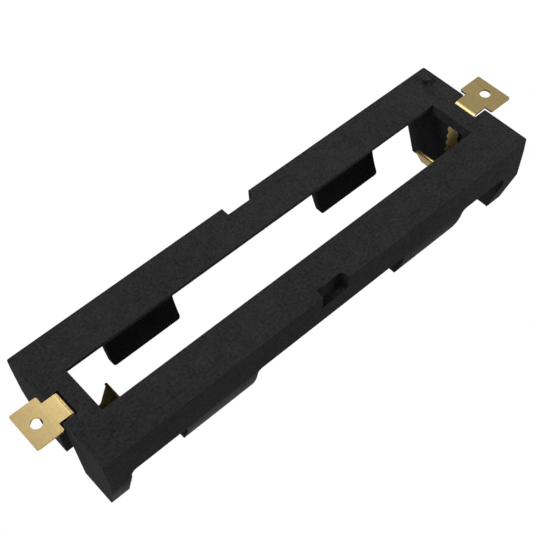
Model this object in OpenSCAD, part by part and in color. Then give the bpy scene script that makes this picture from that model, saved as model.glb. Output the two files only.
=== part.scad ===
// Surface-mount holder for one cylindrical cell.
// The board face lies in z = 0, the cell drops in from +Z and runs along X.
// The moulded housing carries a folded spring contact at each end.

/* [Cell] */
// Diameter of the cell that the bay takes
cell_d = 18.6; // [18:0.1:18.8]
// Radial room between the cell and the trough
cell_room = 0.05; // [0.02:0.01:0.1]
// Height of the cell's axis above the board face
axis_z = 9.15; // [9.1:0.05:9.6]

/* [Housing] */
// Length of the housing without the solder tabs
body_l = 77.2; // [75:0.1:82]
// Width of the housing across the rails
body_w = 20.65; // [20.4:0.05:22]
// Height of the end blocks above the board face
body_h = 14.54; // [14.3:0.02:15]
// Thickness of each end block along X
end_t = 3.5; // [3.2:0.1:5]
// How far each end face leans in from foot to top
end_lean = 0.54; // [0:0.02:0.8]
// Height at which the flanks start to lean in
flank_z = 7.65; // [7:0.05:9]
// Draft of the flanks below that height
flank_draft = 0.25; // [0:0.05:0.4]
// Total inset of the flanks at the top rim
rim_inset = 2.35; // [1.5:0.05:2.6]
// Radius of the four upright corners
corner_r = 0.3; // [0.2:0.1:1.5]
// Radius of the fillets where end blocks and arms meet the rails
foot_r = 0.9; // [0.3:0.1:1.5]

/* [Rails] */
// Height of the low side rails
rail_h = 5.9; // [5:0.1:6.8]
// Extra height of the rail between the first end block and the first arm
rail_step = 0.5; // [0.1:0.1:0.6]
// Land left between each end face and the window in the floor
window_land = 4.8; // [4.6:0.1:8]
// Width of the window in the floor
window_w = 7.84; // [6:0.02:9]
// Height of the ledge between the window and each end block
ledge_h = 1.9; // [1.2:0.1:2.6]

/* [Snap arms] */
// Width of each arm along X
arm_w = 12; // [9:0.1:14]
// Distance between the arms on one rail, centre to centre
arm_pitch = 39.8; // [30:0.1:42]
// Shift of the arms towards +X, to suit the unequal springs
bay_shift = 0.15; // [-1:0.05:1]
// Height of the arms' tips above the board face
arm_h = 12.2; // [10.5:0.1:13.5]
// How far the arms' outer face leans in from rail to tip
arm_lean = 1.96; // [0.5:0.02:2.3]
// Thickness of the arms at the tip
arm_tip_t = 1.05; // [0.8:0.05:1.4]
// Outward bow of the arms halfway up
arm_bow = 0.6; // [0:0.05:0.8]
// Radius of the arms' tip corners
arm_tip_r = 0.5; // [0.2:0.1:1.5]

/* [Rail notches] */
// Length of the notch in the outer edge of each rail
notch_l = 4.9; // [3:0.1:8]
// Depth of the notches into the rails
notch_d = 1.4; // [0.6:0.1:2.2]
// Height of the notches from the board face
notch_h = 2.7; // [1:0.1:4]
// Radius of the notches' one rounded corner
notch_r = 1; // [0.2:0.1:1.4]
// Position of the notches' middle along X
notch_x = 0.25; // [-3:0.05:3]

/* [Locating peg] */
// Diameter of the peg
peg_d = 1.6; // [1:0.1:2]
// Length of the peg below the board face
peg_len = 1; // [0.5:0.1:1.6]
// Distance of the peg from the end face
peg_end_gap = 2; // [1.4:0.1:2.4]
// Distance of the peg from the side face
peg_side_gap = 2.32; // [1.4:0.02:4]

/* [Contact channel] */
// Width of the upright channel in each end face
channel_w = 4.3; // [4.1:0.1:6]
// Thickness of the web between channel and cell bay
web_t = 1.2; // [0.8:0.1:1.6]
// Height of the web that each contact hooks over
web_h = 13; // [11.5:0.1:13.8]

/* [Contacts] */
// Thickness of the contact strip
strip_t = 0.3; // [0.2:0.02:0.4]
// Depth of the tabs' soldering face below the board face
tab_drop = 0.15; // [0:0.01:0.2]
// Width of the solder tabs
tab_w = 6.3; // [5:0.05:8]
// Reach of the solder tabs beyond the housing
tab_reach = 4.45; // [3:0.05:6]
// Gap between the housing and the wide part of the tab
tab_gap = 0.35; // [0.1:0.05:1]
// Diameter of the hole in each tab
tab_hole_d = 1.65; // [1:0.05:2.4]
// Corner radius of the tabs
tab_r = 0.25; // [0.1:0.05:1]
// Width of the neck that runs in the channel
neck_w = 3.8; // [2.5:0.1:3.9]
// Bend radius of the strip, on its centre line
bend_r = 0.75; // [0.4:0.05:1]
// Play between the contacts and the web
seat_gap = 0.02; // [0:0.01:0.05]
// Width of the spring leaves
leaf_w = 6.35; // [5:0.05:8]
// How far the positive leaf stands out from its end block
leaf_reach_pos = 4.9; // [3:0.1:6]
// How far the negative leaf stands out from its end block
leaf_reach_neg = 5.9; // [3:0.1:6.5]
// Height of the positive leaf's crest
crest_z_pos = 7; // [5:0.1:8.5]
// Height of the negative leaf's crest
crest_z_neg = 7.75; // [5:0.05:8.5]
// Height of each leaf's steep part above its crest
leaf_rise = 3.5; // [2:0.1:4]
// Lean of the steep part, in degrees from upright
leaf_lean = 24.5; // [10:0.5:30]
// Length of the level run that carries each leaf into the bay
leaf_run = 1.1; // [0.9:0.1:1.6]
// Length of the curled lip under each crest
lip_l = 0.4; // [0.35:0.05:0.8]
// Width of the barbed tongue that grips the web
tongue_w = 1.7; // [1:0.1:2.4]
// Height of the tongue's lower end
tongue_z = 2.2; // [2:0.1:6]
// Distance between the tongue and the web
tongue_gap = 0.3; // [0.1:0.05:0.6]
// Slot width on each side of the tongue
slot_gap = 0.25; // [0.15:0.05:0.5]

/* [Hidden] */
$fn = 48;
eps = 0.01;
far = 3 * body_h;
hl = body_l / 2;
hw = body_w / 2;
bore_r = cell_d / 2 + cell_room;
bay_l = body_l - 2 * end_t;
window_l = body_l - 2 * window_land;
rim_y = hw - rim_inset;
knee_y = hw - flank_draft;
arm_root_z = rail_h - 1.5;
arm_sink = 0.12;
web_x = bay_l / 2 + web_t;
leg_x = web_x + seat_gap + strip_t / 2;
strip_z = strip_t / 2 - tab_drop;
hook_z = web_h + seat_gap + strip_t / 2;
tab_x0 = hl + tab_gap;
tab_x1 = hl + tab_reach;
hole_x = (tab_x0 + tab_x1) / 2;
tongue_x = bay_l / 2 - tongue_gap - strip_t / 2;

// Flank position at height z, below the knee
function flank_y(z) = hw - flank_draft * z / flank_z;
// Half width of the cell trough at height z
function bore_y(z) = sqrt(bore_r * bore_r - (axis_z - z) * (axis_z - z));
function unit(v) = v / norm(v);
function left(v) = [-v[1], v[0]];
function rot(v, a) = [v[0] * cos(a) - v[1] * sin(a), v[0] * sin(a) + v[1] * cos(a)];
function reversed(l) = [for (i = [len(l) - 1:-1:0]) l[i]];
function arc(c, r, a0, a1, n) =
    [for (k = [0:n]) let(a = a0 + (a1 - a0) * k / n) c + r * [cos(a), sin(a)]];
function bezier(a, b, c, n) =
    [for (k = [0:n]) let(t = k / n) (1 - t) * (1 - t) * a + 2 * t * (1 - t) * b + t * t * c];

// One edge of a bent strip: the path's bends become arcs, moved sideways by off
function heading(p, i) = unit(p[i + 1] - p[i]);
function bend(p, r, i, off, n) =
    let(u = heading(p, i - 1), v = heading(p, i))
    let(a = atan2(u[0] * v[1] - u[1] * v[0], u * v), s = sign(a))
    let(c = p[i] - u * r * tan(abs(a) / 2) + left(u) * s * r)
    [for (k = [0:n]) c - s * (r - s * off) * rot(left(u), a * k / n)];
function edge(p, radii, off, n) = concat(
    [p[0] + left(heading(p, 0)) * off],
    [for (i = [1:len(p) - 2]) each bend(p, radii[i - 1], i, off, n)],
    [p[len(p) - 1] + left(heading(p, len(p) - 2)) * off]);

module strip_profile(p, radii) {
    polygon(concat(
        edge(p, radii, strip_t / 2, 8),
        reversed(edge(p, radii, -strip_t / 2, 8))));
}

// Extrudes a profile drawn in Y and Z from x0 to x1
module along_x(x0, x1) {
    translate([x0, 0, 0])
        rotate([90, 0, 90])
            linear_extrude(x1 - x0)
                children();
}

// Extrudes a profile drawn in X and Z over the width w, centred on y = 0
module along_y(w) {
    translate([0, w / 2, 0])
        rotate([90, 0, 0])
            linear_extrude(w)
                children();
}

module round_rect(l, w, r) {
    square([l - 2 * r, w], center = true);
    square([l, w - 2 * r], center = true);
    for (sx = [-1, 1], sy = [-1, 1])
        translate([sx * (l / 2 - r), sy * (w / 2 - r)])
            circle(r);
}

// Outline of the end blocks, seen along X
module block_outline() {
    polygon([
        [-hw, 0], [hw, 0],
        [knee_y, flank_z], [rim_y, body_h],
        [-rim_y, body_h], [-knee_y, flank_z]]);
}

// Side elevation of one end block, with the fillet onto its rail
module block_elevation(rail_top) {
    polygon(concat(
        [[hl - end_t - foot_r - 1, 0], [hl, 0], [hl - end_lean, body_h]],
        [[hl - end_t, body_h]],
        arc([hl - end_t - foot_r, rail_top + foot_r], foot_r, 0, -90, 8),
        [[hl - end_t - foot_r - 1, rail_top]]));
}

module end_block(rail_top) {
    intersection() {
        along_x(hl - end_t - foot_r - 1, hl)
            block_outline();
        along_y(body_w)
            block_elevation(rail_top);
    }
}

module rail_stock(x0, x1, h) {
    along_x(x0, x1)
        polygon([
            [-hw, 0], [hw, 0],
            [flank_y(h), h], [-flank_y(h), h]]);
}

// Section of one arm, seen along X; its root is sunk into the rail
module arm_section() {
    out0 = [flank_y(rail_h), rail_h];
    out1 = [flank_y(rail_h) - arm_lean, arm_h];
    in0 = [bore_y(rail_h) - arm_sink, rail_h];
    in1 = [out1[0] - arm_tip_t, arm_h];
    bow = [arm_bow, 0];
    polygon(concat(
        [[in0[0] - arm_sink, arm_root_z], [flank_y(arm_root_z), arm_root_z]],
        bezier(out0, (out0 + out1) / 2 + bow, out1, 8),
        reversed(bezier(in0, (in0 + in1) / 2 + bow, in1, 8))));
}

// Side elevation of one arm, with the fillets onto the rail on either side
module arm_elevation(low_side, high_side) {
    h = arm_w / 2;
    polygon(concat(
        [[-h - foot_r, arm_root_z], [h + foot_r, arm_root_z]],
        arc([h + foot_r, high_side + foot_r], foot_r, -90, -180, 8),
        arc([h - arm_tip_r, arm_h - arm_tip_r], arm_tip_r, 0, 90, 6),
        arc([-h + arm_tip_r, arm_h - arm_tip_r], arm_tip_r, 90, 180, 6),
        arc([-h - foot_r, low_side + foot_r], foot_r, 0, -90, 8)));
}

module arm(low_side, high_side) {
    intersection() {
        along_x(-arm_w / 2 - foot_r, arm_w / 2 + foot_r)
            arm_section();
        along_y(2 * body_w)
            arm_elevation(low_side, high_side);
    }
}

// Notch in the outer edge of one rail, with one rounded corner
module rail_notch() {
    x0 = notch_x - notch_l / 2;
    y0 = hw - notch_d;
    translate([0, 0, -1])
        linear_extrude(notch_h + 1) {
            translate([x0, y0])
                square([notch_l - notch_r, notch_d + 1]);
            translate([x0, y0 + notch_r])
                square([notch_l, notch_d - notch_r + 1]);
            translate([x0 + notch_l - notch_r, y0 + notch_r])
                circle(notch_r);
        }
}

// Trough for the cell over the window, and the pockets over both ledges
module bay_cut() {
    translate([-window_l / 2, 0, axis_z])
        rotate([0, 90, 0])
            cylinder(r = bore_r, h = window_l, $fn = 96);
    intersection() {
        translate([-bay_l / 2, 0, axis_z])
            rotate([0, 90, 0])
                cylinder(r = bore_r, h = bay_l, $fn = 96);
        translate([-bay_l / 2, -hw, ledge_h])
            cube([bay_l, body_w, far]);
    }
    translate([-window_l / 2, -window_w / 2, -1])
        cube([window_l, window_w, axis_z]);
}

// Upright channel in the +X end face, and the lowered top of its web
module channel_cut() {
    translate([web_x, -channel_w / 2, -1])
        cube([end_t + 1, channel_w, far]);
    translate([bay_l / 2 - 1, -channel_w / 2, web_h])
        cube([end_t + 1, channel_w, far]);
}

// Rails and end blocks, with the bay, the channels and the notches cut
module tray() {
    difference() {
        intersection() {
            union() {
                end_block(rail_h);
                mirror([1, 0, 0])
                    end_block(rail_h + rail_step);
                rail_stock(-hl + 1, hl - 1, rail_h);
                rail_stock(-hl + 1, bay_shift - arm_pitch / 2, rail_h + rail_step);
            }
            linear_extrude(far)
                round_rect(body_l, body_w, corner_r);
        }
        bay_cut();
        for (s = [0, 1]) {
            mirror([s, 0, 0])
                channel_cut();
            mirror([0, s, 0])
                rail_notch();
        }
    }
}

module housing() {
    color([0.17, 0.17, 0.18]) {
        tray();
        for (sy = [0, 1])
            mirror([0, sy, 0]) {
                translate([bay_shift - arm_pitch / 2, 0, 0])
                    arm(rail_h + rail_step, rail_h);
                translate([bay_shift + arm_pitch / 2, 0, 0])
                    arm(rail_h, rail_h);
            }
        translate([hl - peg_end_gap, -hw + peg_side_gap, -peg_len])
            cylinder(d = peg_d, h = peg_len + 1);
    }
}

// Solder tab, and the neck that reaches back over the web, seen from above
module tab_plan() {
    translate([(tab_x0 + tab_x1) / 2, 0])
        round_rect(tab_x1 - tab_x0, tab_w, tab_r);
    translate([tongue_x, -neck_w / 2])
        square([tab_x0 + tab_r - tongue_x, neck_w]);
}

// Barbed tongue, seen along X
module tongue_face() {
    h = tongue_w / 2;
    polygon([[-h, tongue_z], [h, tongue_z], [h, hook_z], [-h, hook_z]]);
    for (z = [tongue_z + 0.6:1.5:web_h - 4], s = [-1, 1])
        polygon([[s * h, z], [s * (h + 0.25), z + 0.9], [s * h, z + 1.1]]);
}

// Folded contact at the +X end: tab, neck, leg in the channel, hook over the
// web, barbed tongue and spring leaf
module contact(reach, crest_z) {
    crest_x = bay_l / 2 - reach;
    knee = [crest_x + leaf_rise * tan(leaf_lean), crest_z + leaf_rise];
    lip = rot([lip_l, 0], -leaf_lean);
    path = [
        [tab_x1, strip_z], [leg_x, strip_z], [leg_x, hook_z], [bay_l / 2 - leaf_run, hook_z],
        knee, [crest_x, crest_z], [crest_x, crest_z] + lip];
    radii = [bend_r, bend_r, bend_r, bend_r, 0.4 * bend_r];
    difference() {
        union() {
            intersection() {
                along_y(tab_w)
                    strip_profile(path, radii);
                translate([0, 0, -1])
                    linear_extrude(far)
                        tab_plan();
            }
            intersection() {
                along_y(leaf_w)
                    strip_profile(path, radii);
                translate([crest_x - 2, -leaf_w / 2, -1])
                    cube([tongue_x - crest_x + 2, leaf_w, far]);
            }
        }
        translate([hole_x, 0, -far / 2])
            cylinder(d = tab_hole_d, h = far);
        translate([crest_x, -tongue_w / 2 - slot_gap, knee[1]])
            cube([tongue_x - crest_x, tongue_w + 2 * slot_gap, far]);
    }
    intersection() {
        along_y(tab_w)
            strip_profile(
                [[leg_x, hook_z - bend_r], [leg_x, hook_z], [tongue_x, hook_z], [tongue_x, tongue_z]],
                [bend_r / 2, bend_r / 2]);
        along_x(tongue_x - 1, web_x - eps)
            tongue_face();
    }
}

module contact_positive() {
    color([0.85, 0.72, 0.42])
        contact(leaf_reach_pos, crest_z_pos);
}

module contact_negative() {
    color([0.85, 0.72, 0.42])
        mirror([1, 0, 0])
            contact(leaf_reach_neg, crest_z_neg);
}

housing();
contact_positive();
contact_negative();
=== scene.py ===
"""Finish and studio for a surface-mount holder of one cylindrical cell.

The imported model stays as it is: this add-on welds and shades it with modifiers, eases the edges
of the two folded contacts, gives them and the moulded housing their finishes, and sets a plain
studio and a camera.
"""

import math

import bpy
from bpy.props import FloatProperty, FloatVectorProperty, PointerProperty
from mathutils import Matrix, Vector


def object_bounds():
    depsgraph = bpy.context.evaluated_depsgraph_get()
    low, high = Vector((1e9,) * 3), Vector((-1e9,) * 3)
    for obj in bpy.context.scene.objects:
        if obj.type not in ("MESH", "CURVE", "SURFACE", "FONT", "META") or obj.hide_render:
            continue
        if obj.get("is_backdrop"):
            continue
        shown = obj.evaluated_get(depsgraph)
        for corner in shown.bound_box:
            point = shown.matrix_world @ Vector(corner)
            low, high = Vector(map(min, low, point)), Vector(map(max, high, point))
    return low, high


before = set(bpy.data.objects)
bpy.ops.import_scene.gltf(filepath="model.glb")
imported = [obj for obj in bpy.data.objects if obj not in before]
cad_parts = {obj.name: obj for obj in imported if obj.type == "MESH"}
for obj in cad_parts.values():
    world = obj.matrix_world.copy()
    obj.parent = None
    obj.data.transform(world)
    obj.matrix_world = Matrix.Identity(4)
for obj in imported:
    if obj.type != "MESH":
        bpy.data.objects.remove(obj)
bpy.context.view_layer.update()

bl_info = {
    "name": "Cell Holder Finish",
    "version": (1, 0, 0),
    "blender": (4, 5, 0),
    "location": "View3D > Sidebar > Cell Holder",
    "description": "Finishes a moulded cell holder with folded contacts and sets a plain studio",
    "category": "Object",
}

HOUSING = "housing"
CONTACTS = ("contact_positive", "contact_negative")
MM = 0.001

# Points nearer than this are joined, in the housing and in the strip of the contacts.
HOUSING_WELD = 0.06 * MM
STRIP_WELD = 0.002 * MM

# Edges that turn less than FLAT are dissolved, and less than GENTLE shaded smooth. In the strip,
# those that turn more than SHARP are rounded, but only as far as its shortest faces let them be.
FLAT = math.radians(0.5)
GENTLE = math.radians(32)
SHARP = math.radians(35)

# The value about which noise swings.
NOISE_MIDDLE = 0.5

# Room between the lowest point of the part and the floor.
FLOOR_GAP = 0.01 * MM

# The camera's sensor in millimetres, and the nearest and farthest that it sees in metres.
SENSOR_WIDTH = 36
NEAREST = 0.002
FARTHEST = 50


# ------------------------------------------------------------------ settings


class HousingSettings(bpy.types.PropertyGroup):
    """Finish of the moulded housing."""

    colour: FloatVectorProperty(
        name="Plastic colour",
        description="Colour of the moulded plastic",
        subtype="COLOR",
        size=3,
        min=0,
        max=1,
        default=(0.025, 0.025, 0.026),
    )
    gloss_loss: FloatProperty(
        name="Roughness",
        description="Roughness of the matt moulded skin",
        subtype="FACTOR",
        min=0,
        max=1,
        default=0.8,
    )
    grain: FloatProperty(
        name="Grain size",
        description="Size of one grain of the eroded mould texture",
        subtype="DISTANCE",
        unit="LENGTH",
        min=0.00005,
        default=0.00042,
    )
    relief: FloatProperty(
        name="Grain height",
        description="Height of the mould texture",
        subtype="DISTANCE",
        unit="LENGTH",
        min=0,
        default=0.00003,
    )


class ContactSettings(bpy.types.PropertyGroup):
    """Finish of the folded contacts."""

    colour: FloatVectorProperty(
        name="Plating colour",
        description="Colour of the plated strip",
        subtype="COLOR",
        size=3,
        min=0,
        max=1,
        default=(0.305, 0.229, 0.105),
    )
    worn_colour: FloatVectorProperty(
        name="Dull plating colour",
        description="Colour of the plating where it is thin or dull",
        subtype="COLOR",
        size=3,
        min=0,
        max=1,
        default=(0.26, 0.194, 0.088),
    )
    gloss_loss: FloatProperty(
        name="Roughness",
        description="Roughness of the rolled and plated strip",
        subtype="FACTOR",
        min=0,
        max=1,
        default=0.3,
    )
    grain: FloatProperty(
        name="Rolling line width",
        description="Width of one rolling line in the strip",
        subtype="DISTANCE",
        unit="LENGTH",
        min=0.00002,
        default=0.0001,
    )
    relief: FloatProperty(
        name="Rolling line depth",
        description="Depth of the rolling lines",
        subtype="DISTANCE",
        unit="LENGTH",
        min=0,
        default=0.000001,
    )
    edge: FloatProperty(
        name="Edge radius",
        description="Most that the strip's sheared edges are rounded; short faces hold it far below",
        subtype="DISTANCE",
        unit="LENGTH",
        min=0,
        default=0.00005,
    )


class StudioSettings(bpy.types.PropertyGroup):
    """Floor, light and camera."""

    floor_colour: FloatVectorProperty(
        name="Floor colour",
        description="Colour of the plain floor",
        subtype="COLOR",
        size=3,
        min=0,
        max=1,
        default=(0.84, 0.84, 0.84),
    )
    floor_reach: FloatProperty(
        name="Floor reach",
        description="Distance from the middle of the floor to its edge",
        subtype="DISTANCE",
        unit="LENGTH",
        min=0.1,
        default=6.0,
    )
    fade_start: FloatProperty(
        name="Fade start",
        description="Distance from the middle at which the floor starts to turn into plain white",
        subtype="DISTANCE",
        unit="LENGTH",
        min=0,
        default=0.05,
    )
    fade_end: FloatProperty(
        name="Fade end",
        description="Distance from the middle at which the floor is plain white",
        subtype="DISTANCE",
        unit="LENGTH",
        min=0,
        default=0.3,
    )
    surround: FloatProperty(
        name="Surround strength",
        description="Strength of the even light from all sides",
        min=0,
        max=1,
        default=0.15,
    )
    camera_place: FloatVectorProperty(
        name="Camera place",
        description="Where the camera stands",
        subtype="TRANSLATION",
        unit="LENGTH",
        size=3,
        default=(-0.06095, 0.07158, -0.12285),
    )
    camera_aim: FloatVectorProperty(
        name="Camera aim",
        description="Direction in which the camera looks",
        subtype="DIRECTION",
        size=3,
        default=(0.3718, -0.4602, 0.8062),
    )
    camera_up: FloatVectorProperty(
        name="Camera up",
        description="Direction that is up in the view",
        subtype="DIRECTION",
        size=3,
        default=(0.5524, -0.5883, -0.5906),
    )
    lens: FloatProperty(
        name="Lens",
        description="Focal length for a sensor 36 mm wide",
        subtype="DISTANCE_CAMERA",
        min=10,
        default=76.34,
    )


# ------------------------------------------------------------- node building


def add(tree, kind, place, **values):
    """Adds a node at a place in the tree and sets its attributes."""
    node = tree.nodes.new(kind)
    node.location = place
    for key, value in values.items():
        setattr(node, key, value)
    return node


def put(node, **sockets):
    """Sets sockets by name, with underscores for spaces."""
    for key, value in sockets.items():
        node.inputs[key.replace("_", " ")].default_value = value
    return node


def feed(tree, socket, value):
    """Links an output socket to a socket, or writes any other value there."""
    if isinstance(value, bpy.types.NodeSocket):
        tree.links.new(value, socket)
    else:
        socket.default_value = value


def math_node(tree, place, operation, *values):
    """Maths on up to three values, each a number or an output socket."""
    node = add(tree, "ShaderNodeMath", place, operation=operation)
    for socket, value in zip(node.inputs, values):
        feed(tree, socket, value)
    return node.outputs[0]


def blend(tree, place, value_a, value_b, share_a):
    """value_a by its share, and value_b by the rest."""
    x, y = place
    part_a = math_node(tree, (x - 150, y + 100), "MULTIPLY", value_a, share_a)
    part_b = math_node(tree, (x - 150, y - 100), "MULTIPLY", value_b, 1.0 - share_a)
    return math_node(tree, place, "ADD", part_a, part_b)


def span(tree, place, value, low, high, to_low, to_high):
    """Maps value from low..high to to_low..to_high, clamped."""
    node = add(tree, "ShaderNodeMapRange", place)
    put(node, From_Min=low, From_Max=high, To_Min=to_low, To_Max=to_high)
    tree.links.new(value, node.inputs["Value"])
    return node.outputs["Result"]


def noise(tree, place, vector, detail=2.0, roughness=0.5):
    """Noise at scale 1 over a vector that is already in units of its features."""
    node = add(tree, "ShaderNodeTexNoise", place, noise_dimensions="3D")
    put(node, Scale=1.0, Detail=detail, Roughness=roughness)
    tree.links.new(vector, node.inputs["Vector"])
    return node.outputs["Fac"]


def scaled(tree, place, vector, factor):
    """vector times a factor, which is a float, a 3-tuple or an output socket."""
    node = add(tree, "ShaderNodeVectorMath", place, operation="MULTIPLY")
    tree.links.new(vector, node.inputs[0])
    feed(tree, node.inputs[1], (factor,) * 3 if isinstance(factor, float) else factor)
    return node.outputs[0]


def group_tree(name, inputs, outputs):
    """A shader node group with named sockets; returns it, its input and its output node.

    Each input is (name, socket type, default), and each output (name, socket type).
    """
    tree = bpy.data.node_groups.new(name, "ShaderNodeTree")
    for socket, kind, default in inputs:
        made = tree.interface.new_socket(socket, in_out="INPUT", socket_type=kind)
        if default is not None:
            made.default_value = default
    for socket, kind in outputs:
        tree.interface.new_socket(socket, in_out="OUTPUT", socket_type=kind)
    return tree, add(tree, "NodeGroupInput", (-1400, 0)), add(tree, "NodeGroupOutput", (900, 0))


def skin_grain_group():
    """Fine grain, broader mottling and faint cloudiness of a made surface."""
    mottle_scale = 0.22
    cloud_scale = 0.035
    fine_share = 0.6
    mottle_share = 0.6
    mottle_height = 0.6
    tone_gain = 4.0
    tree, start, end = group_tree(
        "skin_grain",
        [
            ("Place", "NodeSocketVector", None),
            ("Grain Size", "NodeSocketFloat", 0.0002),
            ("Tone Spread", "NodeSocketFloat", 0.2),
            ("Roughness", "NodeSocketFloat", 0.5),
            ("Roughness Spread", "NodeSocketFloat", 0.1),
        ],
        [
            ("Tone", "NodeSocketFloat"),
            ("Roughness", "NodeSocketFloat"),
            ("Height", "NodeSocketFloat"),
        ],
    )
    per_grain = math_node(tree, (-1200, 200), "DIVIDE", 1.0, start.outputs["Grain Size"])
    grains = scaled(tree, (-1000, 200), start.outputs["Place"], per_grain)
    fine = noise(tree, (-800, 300), grains, detail=3.0, roughness=0.6)
    mottles = scaled(tree, (-1000, 0), grains, mottle_scale)
    mottle = noise(tree, (-800, 0), mottles, detail=3.0, roughness=0.55)
    clouds = scaled(tree, (-1000, -300), grains, cloud_scale)
    cloud = noise(tree, (-800, -300), clouds, detail=2.0)
    broad = blend(tree, (-450, -100), mottle, cloud, mottle_share)
    mixed = blend(tree, (-250, 100), fine, broad, fine_share)
    centred = math_node(tree, (-100, 100), "SUBTRACT", mixed, NOISE_MIDDLE)
    swing = math_node(tree, (50, 100), "MULTIPLY", centred, start.outputs["Tone Spread"])
    tone = math_node(tree, (200, 200), "MULTIPLY_ADD", swing, tone_gain, 1.0)
    uneven = math_node(tree, (50, -50), "SUBTRACT", mottle, NOISE_MIDDLE)
    spread, middle = start.outputs["Roughness Spread"], start.outputs["Roughness"]
    rough = math_node(tree, (200, 0), "MULTIPLY_ADD", uneven, spread, middle)
    height = math_node(tree, (200, -200), "MULTIPLY_ADD", mottle, mottle_height, fine)
    tree.links.new(tone, end.inputs["Tone"])
    tree.links.new(rough, end.inputs["Roughness"])
    tree.links.new(height, end.inputs["Height"])
    return tree


def edge_rub_and_highlight_group():
    """Mask of paler outer edges: patchy wear from handling and tumbling, and a painted edge highlight."""
    # Thresholds of the paler edge, which stands for wear and also paints a highlight along the edges.
    rub_and_highlight_starts = 0.995
    rub_and_highlight_full = 0.9
    patch_low = 0.38
    patch_high = 0.62
    least_rub_and_highlight = 0.25
    tree, start, end = group_tree(
        "edge_rub_and_highlight",
        [
            ("Place", "NodeSocketVector", None),
            ("Width", "NodeSocketFloat", 0.0002),
            ("Patch Size", "NodeSocketFloat", 0.001),
        ],
        [("Mask", "NodeSocketFloat")],
    )
    soft = add(tree, "ShaderNodeBevel", (-1100, 200), samples=6)
    tree.links.new(start.outputs["Width"], soft.inputs["Radius"])
    true = add(tree, "ShaderNodeNewGeometry", (-1100, -100))
    turn = add(tree, "ShaderNodeVectorMath", (-850, 100), operation="DOT_PRODUCT")
    tree.links.new(soft.outputs["Normal"], turn.inputs[0])
    tree.links.new(true.outputs["Normal"], turn.inputs[1])
    near_edge = span(tree, (-650, 100), turn.outputs["Value"], rub_and_highlight_starts, rub_and_highlight_full, 0.0, 1.0)
    per_patch = math_node(tree, (-1100, -400), "DIVIDE", 1.0, start.outputs["Patch Size"])
    patched = scaled(tree, (-850, -300), start.outputs["Place"], per_patch)
    patches = noise(tree, (-650, -300), patched, detail=4.0)
    broken = span(tree, (-450, -300), patches, patch_low, patch_high, least_rub_and_highlight, 1.0)
    mask = math_node(tree, (-200, 0), "MULTIPLY", near_edge, broken)
    tree.links.new(mask, end.inputs["Mask"])
    return tree


GROUPS = {"skin_grain": skin_grain_group, "edge_rub_and_highlight": edge_rub_and_highlight_group}


def place_group(tree, name, place, links=None, **values):
    """Places one of the shared effects, which is built the first time it is wanted."""
    node = add(tree, "ShaderNodeGroup", place)
    node.node_tree = bpy.data.node_groups.get(name) or GROUPS[name]()
    put(node, **values)
    for socket, source in (links or {}).items():
        tree.links.new(source, node.inputs[socket])
    return node


def mix_shaders(tree, place, factor, shader_a, shader_b):
    """Mix of the first outputs of two shader nodes."""
    node = add(tree, "ShaderNodeMixShader", place)
    tree.links.new(factor, node.inputs[0])
    tree.links.new(shader_a.outputs[0], node.inputs[1])
    tree.links.new(shader_b.outputs[0], node.inputs[2])
    return node


def new_material(name):
    """A material with an empty Principled shader; returns its tree and that shader."""
    material = bpy.data.materials.new(name)
    material.use_nodes = True
    tree = material.node_tree
    return material, tree, tree.nodes["Principled BSDF"]


def tone_mix(tree, place, colour_a, colour_b, factor):
    """Mix of two colours, each a tuple or an output socket."""
    node = add(tree, "ShaderNodeMix", place, data_type="RGBA")
    tree.links.new(factor, node.inputs["Factor"])
    first_colour, second_colour = (socket for socket in node.inputs if socket.type == "RGBA")
    for socket, colour in ((first_colour, colour_a), (second_colour, colour_b)):
        feed(tree, socket, (*colour, 1.0) if isinstance(colour, tuple) else colour)
    return next(socket for socket in node.outputs if socket.type == "RGBA")


def brighter(tree, place, colour, factor):
    """colour times a factor that changes over the surface."""
    node = add(tree, "ShaderNodeVectorMath", place, operation="SCALE")
    tree.links.new(factor, node.inputs["Scale"])
    feed(tree, node.inputs[0], colour)
    return node.outputs[0]


def paler(colour, gain):
    """A plain colour times a gain, held to white."""
    return tuple(min(1.0, gain * part) for part in colour)


def bump(tree, place, height, distance):
    """Bump from a height of 0..1, with its full height in metres."""
    node = put(add(tree, "ShaderNodeBump", place), Strength=1.0, Distance=distance)
    tree.links.new(height, node.inputs["Height"])
    return node.outputs["Normal"]


# ------------------------------------------------------------ moulded housing


def matt_plastic(settings):
    """Black moulded plastic with an eroded mould skin and faintly paler edges: wear and painted highlight.
    """
    rub_and_highlight_gain = 1.7
    material, tree, shader = new_material("matt_black_plastic")
    place = add(tree, "ShaderNodeTexCoord", (-1200, 0)).outputs["Object"]
    grain = place_group(
        tree,
        "skin_grain",
        (-900, 0),
        {"Place": place},
        Grain_Size=settings.grain,
        Tone_Spread=0.75,
        Roughness=settings.gloss_loss,
        Roughness_Spread=0.35,
    )
    # Paler outer edges: wear, and a painted highlight along the edges.
    rub_and_highlight = place_group(tree, "edge_rub_and_highlight", (-900, -400), {"Place": place}, Width=0.00016, Patch_Size=0.0012)
    body = brighter(tree, (-500, 200), tuple(settings.colour), grain.outputs["Tone"])
    pale = paler(settings.colour, rub_and_highlight_gain)
    colour = tone_mix(tree, (-300, 200), body, pale, rub_and_highlight.outputs["Mask"])
    normal = bump(tree, (-300, -300), grain.outputs["Height"], settings.relief)
    tree.links.new(colour, shader.inputs["Base Color"])
    tree.links.new(grain.outputs["Roughness"], shader.inputs["Roughness"])
    tree.links.new(normal, shader.inputs["Normal"])
    put(shader, IOR=1.5, Specular_IOR_Level=0.01)
    return material


# ------------------------------------------------------------ folded contacts


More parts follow.
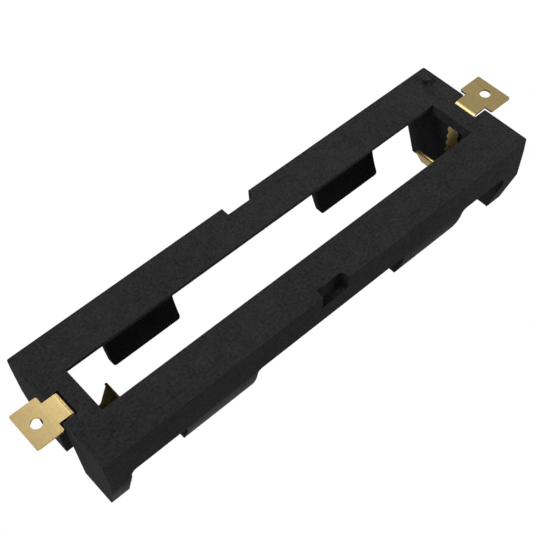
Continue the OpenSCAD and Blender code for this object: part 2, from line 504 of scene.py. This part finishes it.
def plated_strip(settings):
    """Bright plated rolled strip, dull in soft patches; sheared edges paler by wear and painted highlight.
    """
    drawn_out = (1.0, 0.06, 1.0)
    dull_starts = 0.75
    dull_full = 1.3
    dullest = 0.8
    rub_and_highlight_gain = 1.25
    rub_and_highlight_share = 0.6
    material, tree, shader = new_material("bright_plated_strip")
    place = add(tree, "ShaderNodeTexCoord", (-1400, 0)).outputs["Object"]
    rolled = scaled(tree, (-1200, -200), place, drawn_out)
    lines = place_group(
        tree,
        "skin_grain",
        (-1000, -200),
        {"Place": rolled},
        Grain_Size=settings.grain,
        Tone_Spread=0.08,
        Roughness=settings.gloss_loss,
        Roughness_Spread=0.16,
    )
    patches = place_group(
        tree,
        "skin_grain",
        (-1000, 200),
        {"Place": place},
        Grain_Size=0.0006,
        Tone_Spread=0.5,
        Roughness=0.5,
        Roughness_Spread=1.0,
    )
    # Paler sheared edges: wear, and a painted highlight along the edges.
    rub_and_highlight = place_group(tree, "edge_rub_and_highlight", (-1000, -500), {"Place": place}, Width=0.0001, Patch_Size=0.0008)
    dull = span(tree, (-700, 200), patches.outputs["Tone"], dull_starts, dull_full, 0.0, dullest)
    plating = tone_mix(tree, (-500, 200), tuple(settings.colour), tuple(settings.worn_colour), dull)
    toned = brighter(tree, (-300, 200), plating, lines.outputs["Tone"])
    rub_and_highlight_weight = math_node(tree, (-300, -500), "MULTIPLY", rub_and_highlight.outputs["Mask"], rub_and_highlight_share)
    colour = tone_mix(tree, (-100, 200), toned, paler(settings.colour, rub_and_highlight_gain), rub_and_highlight_weight)
    normal = bump(tree, (-300, -200), lines.outputs["Height"], settings.relief)
    tree.links.new(colour, shader.inputs["Base Color"])
    tree.links.new(lines.outputs["Roughness"], shader.inputs["Roughness"])
    tree.links.new(normal, shader.inputs["Normal"])
    put(shader, Metallic=1.0, Specular_Tint=(0.62, 0.56, 0.4, 1.0))
    return material


# ----------------------------------------------------------- faces and edges


def shape_tree(name):
    """An empty geometry node tree; returns it, its geometry input and its output node."""
    tree = bpy.data.node_groups.new(name, "GeometryNodeTree")
    for way in ("INPUT", "OUTPUT"):
        tree.interface.new_socket("Geometry", in_out=way, socket_type="NodeSocketGeometry")
    return tree, add(tree, "NodeGroupInput", (-900, 0)).outputs[0], add(tree, "NodeGroupOutput", (600, 0))


def run_through(tree, flow, nodes, end):
    """Leads the geometry through nodes in turn and out of the tree."""
    for node in nodes:
        tree.links.new(flow, node.inputs["Geometry"])
        flow = node.outputs["Geometry"]
    tree.links.new(flow, end.inputs[0])


def weld_tree(name, distance):
    """Joins the split faces again and drops their stored normals."""
    tree, flow, end = shape_tree(name)
    merge = put(add(tree, "GeometryNodeMergeByDistance", (-400, 0)), Distance=distance)
    drop = put(add(tree, "GeometryNodeRemoveAttribute", (-100, 0)), Name="custom_normal")
    run_through(tree, flow, (merge, drop), end)
    return tree


def shade_tree(name):
    """Shades smooth across the gentle edges."""
    tree, flow, end = shape_tree(name)
    faces = add(tree, "GeometryNodeSetShadeSmooth", (0, 0), domain="FACE")
    edges = add(tree, "GeometryNodeSetShadeSmooth", (200, 0), domain="EDGE")
    angle = add(tree, "GeometryNodeInputMeshEdgeAngle", (-400, -300)).outputs["Unsigned Angle"]
    gentle = add(tree, "FunctionNodeCompare", (-100, -300), data_type="FLOAT", operation="LESS_THAN")
    put(gentle, B=GENTLE)
    tree.links.new(angle, gentle.inputs["A"])
    tree.links.new(gentle.outputs["Result"], edges.inputs["Shade Smooth"])
    run_through(tree, flow, (faces, edges), end)
    return tree


def clean_up(obj, weld, radius):
    """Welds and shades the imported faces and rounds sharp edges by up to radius, with modifiers only."""

    def nodes(name, build, *values):
        tree = bpy.data.node_groups.get(name) or build(name, *values)
        obj.modifiers.new(name, "NODES").node_group = tree

    nodes(f"weld_{weld / MM:g}", weld_tree, weld)
    whole = obj.modifiers.new("whole_faces", "DECIMATE")
    whole.decimate_type = "DISSOLVE"
    whole.angle_limit = FLAT
    if radius:
        round_over = obj.modifiers.new("round_edges", "BEVEL")
        round_over.width = radius
        round_over.segments = 2
        round_over.limit_method = "ANGLE"
        round_over.angle_limit = SHARP
        round_over.miter_outer = "MITER_ARC"
    nodes("shade_soft", shade_tree)
    even = obj.modifiers.new("even_faces", "WEIGHTED_NORMAL")
    even.keep_sharp = True
    even.weight = 100


def dress(names, material, weld, radius=0.0):
    """Gives CAD nodes a finish and clean faces, with edges rounded by up to radius."""
    for name in names:
        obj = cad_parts[name]
        for slot in obj.material_slots:
            slot.link = "OBJECT"
            slot.material = material
        clean_up(obj, weld, radius)


# -------------------------------------------------------------------- studio


def light_path(tree, place):
    """Outputs of the light path, and whether the ray has met no matt surface yet."""
    no_bounce = 0.5
    x, y = place
    path = add(tree, "ShaderNodeLightPath", place).outputs
    direct = math_node(tree, (x + 250, y - 300), "LESS_THAN", path["Diffuse Depth"], no_bounce)
    return path, direct


def studio_world(strength):
    """An even surround, plain white where the camera or a gloss that it sees looks at it."""
    world = bpy.data.worlds.new("studio_surround")
    bpy.context.scene.world = world
    world.use_nodes = True
    tree = world.node_tree
    background = put(tree.nodes["Background"], Color=(1, 1, 1, 1))
    path, direct = light_path(tree, (-1100, 0))
    gloss = math_node(
        tree, (-850, -100), "MAXIMUM", path["Is Glossy Ray"], path["Is Transmission Ray"]
    )
    seen_gloss = math_node(tree, (-650, -100), "MULTIPLY", gloss, direct)
    seen = math_node(tree, (-450, 0), "MAXIMUM", path["Is Camera Ray"], seen_gloss)
    level = span(tree, (-250, 0), seen, 0.0, 1.0, strength, 1.0)
    tree.links.new(level, background.inputs["Strength"])


def floor_material(settings):
    """Pale floor that turns to plain white far out.

    It is clear from below, and it casts no shadow on what the camera sees at first hand.
    """
    cloud_scale = 25.0
    cloud_low = 0.3
    cloud_high = 0.7
    darkest = 0.99
    lightest = 1.01
    material, tree, shader = new_material("pale_floor")
    place = add(tree, "ShaderNodeTexCoord", (-900, 0)).outputs["Object"]
    cloud = noise(tree, (-700, 0), scaled(tree, (-800, 0), place, cloud_scale), detail=3.0)
    tone = span(tree, (-500, 0), cloud, cloud_low, cloud_high, darkest, lightest)
    colour = brighter(tree, (-300, 0), tuple(settings.floor_colour), tone)
    tree.links.new(colour, shader.inputs["Base Color"])
    put(shader, Roughness=0.9, Specular_IOR_Level=0.1)
    away = add(tree, "ShaderNodeVectorMath", (-500, -250), operation="LENGTH")
    tree.links.new(place, away.inputs[0])
    start, end = settings.fade_start, settings.fade_end
    fade = span(tree, (-300, -250), away.outputs["Value"], start, end, 0.0, 1.0)
    white = put(add(tree, "ShaderNodeEmission", (0, -250)), Strength=1.0)
    swept = mix_shaders(tree, (200, 0), fade, shader, white)
    clear = add(tree, "ShaderNodeBsdfTransparent", (200, -400))
    path, direct = light_path(tree, (-300, 500))
    from_lamp = math_node(tree, (0, 500), "MULTIPLY", path["Is Shadow Ray"], direct)
    under = add(tree, "ShaderNodeNewGeometry", (0, 300)).outputs["Backfacing"]
    let_by = math_node(tree, (200, 400), "MAXIMUM", under, from_lamp)
    either = mix_shaders(tree, (400, 0), let_by, swept, clear)
    tree.links.new(either.outputs[0], tree.nodes["Material Output"].inputs["Surface"])
    return material


def studio_floor(settings):
    """A pale floor under the lowest point of the part."""
    low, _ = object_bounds()
    height = low.z - FLOOR_GAP
    reach = settings.floor_reach
    corners = [(reach * x, reach * y, height) for x, y in ((-1, -1), (1, -1), (1, 1), (-1, 1))]
    mesh = bpy.data.meshes.new("floor")
    mesh.from_pydata(corners, [], [(0, 1, 2, 3)])
    mesh.materials.append(floor_material(settings))
    floor = bpy.data.objects.new("floor", mesh)
    bpy.context.scene.collection.objects.link(floor)
    floor.visible_diffuse = False
    floor.visible_glossy = False
    floor.visible_transmission = False
    floor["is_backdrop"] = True


def lamp(name, place, aim, size, level):
    """A square soft lamp; level is how bright it makes a white face turned to it, 1 as written."""
    data = bpy.data.lights.new(name, "AREA")
    data.shape = "SQUARE"
    data.size = size
    direction = Vector(aim) - Vector(place)
    data.energy = level * (math.pi * direction.length) ** 2
    obj = bpy.data.objects.new(name, data)
    obj.location = place
    obj.visible_camera = False
    obj.rotation_mode = "QUATERNION"
    obj.rotation_quaternion = direction.to_track_quat("-Z", "Y")
    bpy.context.scene.collection.objects.link(obj)


def studio_camera(settings):
    """The camera, at the angle that shows the board face."""
    data = bpy.data.cameras.new("camera")
    data.sensor_width = SENSOR_WIDTH
    data.lens = settings.lens
    data.clip_start = NEAREST
    data.clip_end = FARTHEST
    camera = bpy.data.objects.new("camera", data)
    aim, up = Vector(settings.camera_aim).normalized(), Vector(settings.camera_up)
    right = aim.cross(up).normalized()
    turn = Matrix((right, right.cross(aim), -aim)).transposed()
    camera.matrix_world = Matrix.Translation(settings.camera_place) @ turn.to_4x4()
    bpy.context.scene.collection.objects.link(camera)
    bpy.context.scene.camera = camera


# ----------------------------------------------------------------- operators


class CELLHOLDER_OT_housing(bpy.types.Operator):
    """Give the moulded housing its matt skin and clean faces"""

    bl_idname = "cellholder.housing"
    bl_label = "Moulded housing"

    def execute(self, context):
        settings = context.scene.cellholder_housing
        dress((HOUSING,), matt_plastic(settings), HOUSING_WELD)
        return {"FINISHED"}


class CELLHOLDER_OT_contacts(bpy.types.Operator):
    """Give the two folded contacts their plating and eased edges"""

    bl_idname = "cellholder.contacts"
    bl_label = "Folded contacts"

    def execute(self, context):
        settings = context.scene.cellholder_contacts
        dress(CONTACTS, plated_strip(settings), STRIP_WELD, settings.edge)
        return {"FINISHED"}


class CELLHOLDER_OT_stage(bpy.types.Operator):
    """Set the plain floor, the soft lamps and the camera"""

    bl_idname = "cellholder.stage"
    bl_label = "Floor, lamps and camera"

    def execute(self, context):
        settings = context.scene.cellholder_studio
        context.scene.view_settings.view_transform = "Standard"
        studio_camera(settings)
        studio_world(settings.surround)
        studio_floor(settings)
        lamp("lamp_below", place=(-0.36, -0.14, -0.44), aim=(0, 0, 0), size=0.3, level=0.65)
        lamp("lamp_glint", place=(0.002, -0.060, -0.095), aim=(-0.041, 0, 0), size=0.043, level=0.16)
        lamp("lamp_side", place=(0.10, -0.13, -0.06), aim=(0.04, -0.01, 0.003), size=0.05, level=0.5)
        lamp("lamp_end", place=(0.10, 0.08, -0.03), aim=(0.04, 0.01, 0.003), size=0.05, level=0.8)
        lamp("lamp_above", place=(-0.02, 0.04, 0.60), aim=(0, 0, 0.01), size=0.24, level=0.8)
        return {"FINISHED"}


class CELLHOLDER_PT_panel(bpy.types.Panel):
    """Lists the pieces of the holder and the studio"""

    bl_idname = "CELLHOLDER_PT_panel"
    bl_label = "Cell Holder"
    bl_space_type = "VIEW_3D"
    bl_region_type = "UI"
    bl_category = "Cell Holder"

    def draw(self, context):
        for operator, group, _ in STEPS:
            box = self.layout.box()
            box.operator(operator.bl_idname)
            settings = getattr(context.scene, group)
            for name in settings.__annotations__:
                box.prop(settings, name)


STEPS = (
    (CELLHOLDER_OT_housing, "cellholder_housing", HousingSettings),
    (CELLHOLDER_OT_contacts, "cellholder_contacts", ContactSettings),
    (CELLHOLDER_OT_stage, "cellholder_studio", StudioSettings),
)
OPERATORS, GROUP_NAMES, SETTINGS = zip(*STEPS)
CLASSES = (*SETTINGS, *OPERATORS, CELLHOLDER_PT_panel)


def register():
    """Adds the classes, and each group of settings to the scene."""
    for kind in CLASSES:
        bpy.utils.register_class(kind)
    for name, kind in zip(GROUP_NAMES, SETTINGS):
        setattr(bpy.types.Scene, name, PointerProperty(type=kind))


def unregister():
    """Takes away what register adds."""
    for name in GROUP_NAMES:
        delattr(bpy.types.Scene, name)
    for kind in reversed(CLASSES):
        bpy.utils.unregister_class(kind)


def main():
    """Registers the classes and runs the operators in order."""
    register()
    bpy.ops.cellholder.housing()
    bpy.ops.cellholder.contacts()
    bpy.ops.cellholder.stage()


if __name__ == "__main__":
    main()
